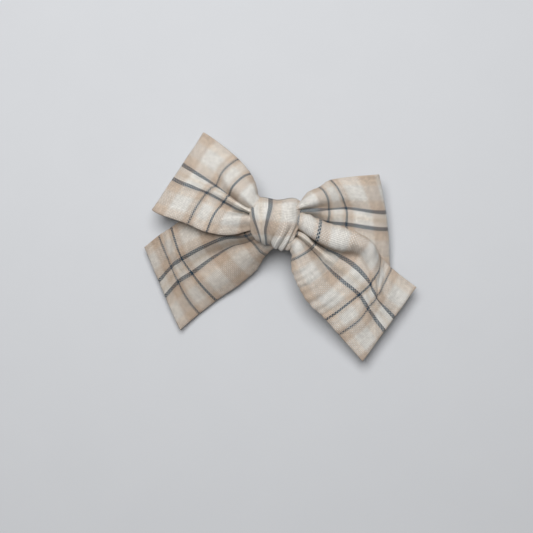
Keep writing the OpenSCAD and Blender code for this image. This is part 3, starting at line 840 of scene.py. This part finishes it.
def make_thread():
    """Two-ply thread wound round the waist, each ply a helix round the turns."""
    plies = []
    turns = np.linspace(0, 2 * math.pi * THREAD_TURNS, 130 * THREAD_TURNS)
    x = (turns / (2 * math.pi) - THREAD_TURNS / 2) * THREAD_PITCH
    size = (np.abs(np.cos(turns)) ** 3 + np.abs(np.sin(turns)) ** 3) ** (-1 / 3)
    outward = np.stack([0 * turns, np.cos(turns), np.sin(turns)], axis=1)
    middle = outward * size[:, None] * THREAD_LOOP + WAIST_MIDDLE
    middle[:, 0] = x
    material = thread_material()
    for ply in (0, 1):
        twist = (PLY_TWISTS * turns + math.pi * ply)[:, None]
        path = middle + PLY_OFFSET * (np.cos(twist) * outward + np.sin(twist) * np.array([1, 0, 0]))
        plies.append(tube(f"thread_ply_{ply + 1}", path, THREAD_RADIUS, material, sides=6))
    for ply in plies:
        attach(ply, "bow")
    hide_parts("gathering_thread")


def make_glue(name, node, low, high, phase):
    """A pressed bead of hot-melt glue in the box from low to high, with a wavy squeezed edge."""
    low, high = np.array(low), np.array(high)
    middle, half = (low + high) / 2, (high - low) / 2
    turn = np.linspace(0, 2 * math.pi, 96, endpoint=False)
    wave = 1 - 0.05 * (1 + np.sin(3 * turn + phase)) - 0.03 * (1 + np.sin(7 * turn + 2 * phase))
    squircle = (np.abs(np.cos(turn)) ** 4 + np.abs(np.sin(turn)) ** 4) ** (-1 / 4)
    outline = np.stack([np.cos(turn), np.sin(turn)], axis=1) * (wave * squircle)[:, None]
    profile = [(-1, 0.55), (-0.95, 0.86), (-0.5, 0.98), (0, 1), (0.5, 0.97), (0.95, 0.84), (1, 0.5)]
    rings = []
    for level, reach in profile:
        ring = np.empty((len(turn), 3))
        ring[:, :2] = middle[:2] + outline * reach * half[:2]
        ring[:, 2] = middle[2] + level * half[2]
        rings.append(ring)
    count = len(turn)
    faces = [list(range(count))[::-1], [(len(rings) - 1) * count + k for k in range(count)]]
    for i in range(len(rings) - 1):
        for k in range(count):
            a, b = i * count + k, i * count + (k + 1) % count
            faces.append([a, b, b + count, a + count])
    piece = make_mesh(name, np.concatenate(rings), faces, glue_material(name))
    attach(piece, "bow")
    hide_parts(node)


def make_lining(name, node, body, path, width):
    """Grosgrain ribbon along a path in the clip's middle plane, with ribs that nick its edges."""
    path = np.array(path, float)
    gone = np.concatenate([[0], np.cumsum(np.linalg.norm(np.diff(path, axis=0), axis=1))])
    along = np.arange(0, gone[-1], 0.2)
    x, z = np.interp(along, gone, path[:, 0]), np.interp(along, gone, path[:, 1])
    rim = np.array([0, 0.08, 0.2])
    across = np.concatenate([rim, np.linspace(0.5, width - 0.5, 7), width - rim[::-1]])
    u, v = np.meshgrid(along, across, indexing="ij")
    from_middle = v - width / 2
    at_edge = np.sign(from_middle) * (abs(from_middle) > width / 2 - 0.3)
    edge = 0.05 * np.sin(2 * math.pi * u / RIB_SPACING) * at_edge
    x, z = (np.broadcast_to(value[:, None], u.shape) for value in (x, z))
    points = np.stack([x, width / 2 - v - edge, z], axis=2)
    cloth = np.stack([u, v], axis=2)
    piece = fabric_object(
        name, points, cloth, grosgrain_material(name), half=RIBBON_HALF_THICKNESS, rim=0.16
    )
    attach(piece, body)
    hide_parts(node)


def make_spring():
    """Coil round the pin, one leg under the top lever and one on the handle of the bottom lever."""
    coil = []
    for angle in np.arange(0, COIL_DEGREES + 1, 15):
        phase = math.radians(90 + angle)
        y = COIL_LENGTH / 2 - COIL_LENGTH * angle / COIL_DEGREES
        round_pin = (COIL_RADIUS * math.cos(phase), y, COIL_RADIUS * math.sin(phase))
        coil.append(PIVOT + np.array(round_pin))
    top_leg = [(14, 1.1, 0.06), (11, 1.1, -0.2), (8.6, 1.1, -0.46)]
    low_leg = [(8.6, -1.1, -3.5), (11, -1.1, -3.9), (13.5, -1.1, -4.3)]
    steel = metal_material("spring_steel", 0.34, 60)
    spring = tube("spring_wire", top_leg + coil + low_leg, SPRING_WIRE_RADIUS, steel, sides=12)
    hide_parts("clip_torsion_spring")
    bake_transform(spring)


def thread_material():
    n = Nodes("thread_polyester")
    split = n.add("SeparateXYZ", {"Vector": n.add("UVMap", uv_map="cloth").outputs[0]})
    u, v = split.outputs[0], split.outputs[1]
    fibres = n.noise(n.vector(n.math("MULTIPLY", u, 0.6), n.math("MULTIPLY", v, 5.0)), 2.0, 4)
    colour = n.mix(fibres, (0.66, 0.64, 0.58, 1), (0.86, 0.84, 0.79, 1))
    n.bump(fibres, 0.5, 0.00004)
    return n.finish(colour, n.remap(fibres, 0.3, 0.7, 0.45, 0.7), sheen=0.3)


def glue_material(name):
    n = Nodes("hot_glue_" + name)
    place = n.add("TexCoord").outputs["Object"]
    cloud = n.noise(place, 420.0, 4)
    strings = n.noise(place, 1900.0, 3)
    colour = n.mix(cloud, (0.72, 0.66, 0.50, 1), (0.86, 0.83, 0.73, 1))
    n.bump(n.math("ADD", cloud, n.math("MULTIPLY", strings, 0.3)), 0.5, 0.00012)
    n.shader.inputs["Subsurface Weight"].default_value = 0.35
    n.shader.inputs["Subsurface Scale"].default_value = 0.001
    return n.finish(colour, n.remap(strings, 0.3, 0.7, 0.18, 0.38))


def grosgrain_material(name):
    """Ribbon with fat ribs across it, packed warp threads along it and a firm edge."""
    n = Nodes("grosgrain_" + name)
    split = n.add("SeparateXYZ", {"Vector": n.add("UVMap", uv_map="cloth").outputs[0]})
    u, v = split.outputs[0], split.outputs[1]
    wave = n.math("SINE", n.math("MULTIPLY", u, math.pi / RIB_SPACING))
    rib = n.math("POWER", n.math("ABSOLUTE", wave), 0.5)
    warp = n.math("ABSOLUTE", n.math("SINE", n.math("MULTIPLY", v, math.pi / 0.22)))
    fuzz = n.noise(n.vector(u, v), 2.4, 4)
    # Painted shade and highlight: darker in the grooves between ribs and between warp threads, lighter
    # on their crowns.
    colour = n.mix(rib, (0.50, 0.44, 0.36, 1), (0.74, 0.68, 0.58, 1))
    colour = n.mix(1.0, colour, n.mix(warp, grey(0.88), grey(1.05)), "MULTIPLY")
    colour = n.mix(1.0, colour, n.mix(fuzz, grey(0.90), grey(1.08)), "MULTIPLY")
    height = n.math("ADD", rib, n.math("MULTIPLY", warp, 0.25))
    n.bump(height, 0.8, 0.00018)
    return n.finish(colour, n.remap(fuzz, 0.3, 0.7, 0.55, 0.8), sheen=0.35)


def metal_material(name, roughness, stretch):
    """Nickel-plated steel: faint rolling lines along X, fine scratches and dull worn patches."""
    n = Nodes(name)
    place = n.add("TexCoord").outputs["Object"]
    lines = n.add("Mapping", {"Vector": place, "Scale": (stretch, 3000, 3000)}).outputs[0]
    rolling = n.noise(lines, 1.0, 3)
    turned = n.add(
        "Mapping", {"Vector": place, "Rotation": (0.3, 0.2, 0.9), "Scale": (200, 6000, 3000)}
    )
    scratch = n.noise(turned.outputs[0], 1.0, 2)
    worn = n.noise(place, 260.0, 5, 0.6)
    dull = n.remap(worn, 0.45, 0.7, 0.0, 1.0)
    colour = n.mix(dull, (0.66, 0.67, 0.69, 1), (0.45, 0.44, 0.43, 1))
    colour = n.mix(1.0, colour, n.mix(rolling, grey(0.92), grey(1.06)), "MULTIPLY")
    rough = n.remap(worn, 0.3, 0.7, roughness - 0.08, roughness + 0.14)
    rough = n.math("ADD", rough, n.math("MULTIPLY", scratch, 0.08))
    n.bump(n.math("ADD", rolling, scratch), 0.25, 0.00002)
    return n.finish(colour, rough, metallic=1.0)


make_waist()
make_thread()
make_glue("glue_knot_end", "knot_end_glue", (-5.0, -1.6, 3.45), (5.0, 1.6, 3.65), 0.4)
make_glue("glue_clip_pad", "clip_glue_pad", (-6.0, -2.5, 1.4), (6.0, 2.5, 1.8), 1.7)
tip_turn = [(-22 - 0.5 * math.sin(a), 0.7 - 0.5 * math.cos(a)) for a in np.linspace(0, math.pi, 13)]
make_lining(
    "ribbon_top_lining", "top_ribbon_lining", "bow", [(3.5, 0.2), *tip_turn, (22, 1.2)], RIBBON_WIDTH
)
make_lining(
    "ribbon_bottom_lining", "bottom_ribbon_lining", "lower_jaw",
    [(-21.6, -0.8), (-12, -0.85), (-2, -2.4)], 5.4,
)
make_spring()
clip_steel = metal_material("clip_steel", 0.32, 90)
for node in ("clip_top_lever", "clip_bottom_lever", "clip_pivot_pin"):
    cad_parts[node].data.materials.clear()
    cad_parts[node].data.materials.append(clip_steel)


# ---------------------------------------------------------------- floor, light and camera

FLOOR_SIZE = 4.0
# Width of the view at the bow, and the camera's height and place over it, in metres.
VIEW_WIDTH = 0.1945
CAMERA_DISTANCE = 0.55
CAMERA_OVER = (-0.0031, -0.0148, 0.003)


def floor_material():
    n = Nodes("floor")
    place = n.add("TexCoord").outputs["Object"]
    speck = n.noise(place, 60.0, 4)
    colour = n.mix(speck, (0.645, 0.67, 0.71, 1), (0.665, 0.69, 0.73, 1))
    return n.finish(colour, 0.9)


def make_floor():
    half = FLOOR_SIZE / 2 / MM
    z = cad_box[0][2] / MM
    corners = [(-half, -half, z), (half, -half, z), (half, half, z), (-half, half, z)]
    floor = make_mesh("floor", corners, [(0, 1, 2, 3)], floor_material())


def make_light(name, place, aim, size, power, colour):
    light = bpy.data.lights.new(name, "AREA")
    light.shape = "DISK"
    light.size = size
    light.energy = power
    light.color = colour
    obj = bpy.data.objects.new(name, light)
    obj.location = place
    obj.rotation_euler = (Vector(aim) - Vector(place)).to_track_quat("-Z", "Y").to_euler()
    bpy.context.collection.objects.link(obj)


def make_camera():
    camera = bpy.data.cameras.new("camera")
    camera.sensor_width = 36
    camera.lens = camera.sensor_width * CAMERA_DISTANCE / VIEW_WIDTH
    obj = bpy.data.objects.new("camera", camera)
    x, y, z = CAMERA_OVER
    obj.location = (x, y, CAMERA_DISTANCE + z)
    bpy.context.collection.objects.link(obj)
    bpy.context.scene.camera = obj


make_floor()
make_camera()
make_light(
    "key", place=(-0.05, 0.2, 0.6), aim=(0, 0, 0), size=0.42, power=3.9, colour=(1.0, 0.985, 0.965)
)
world = bpy.data.worlds.new("studio")
bpy.context.scene.world = world
world.use_nodes = True
background = world.node_tree.nodes["Background"]
background.inputs["Color"].default_value = (1.0, 0.97, 0.94, 1)
background.inputs["Strength"].default_value = 0.15
bpy.context.scene.view_settings.view_transform = "Standard"
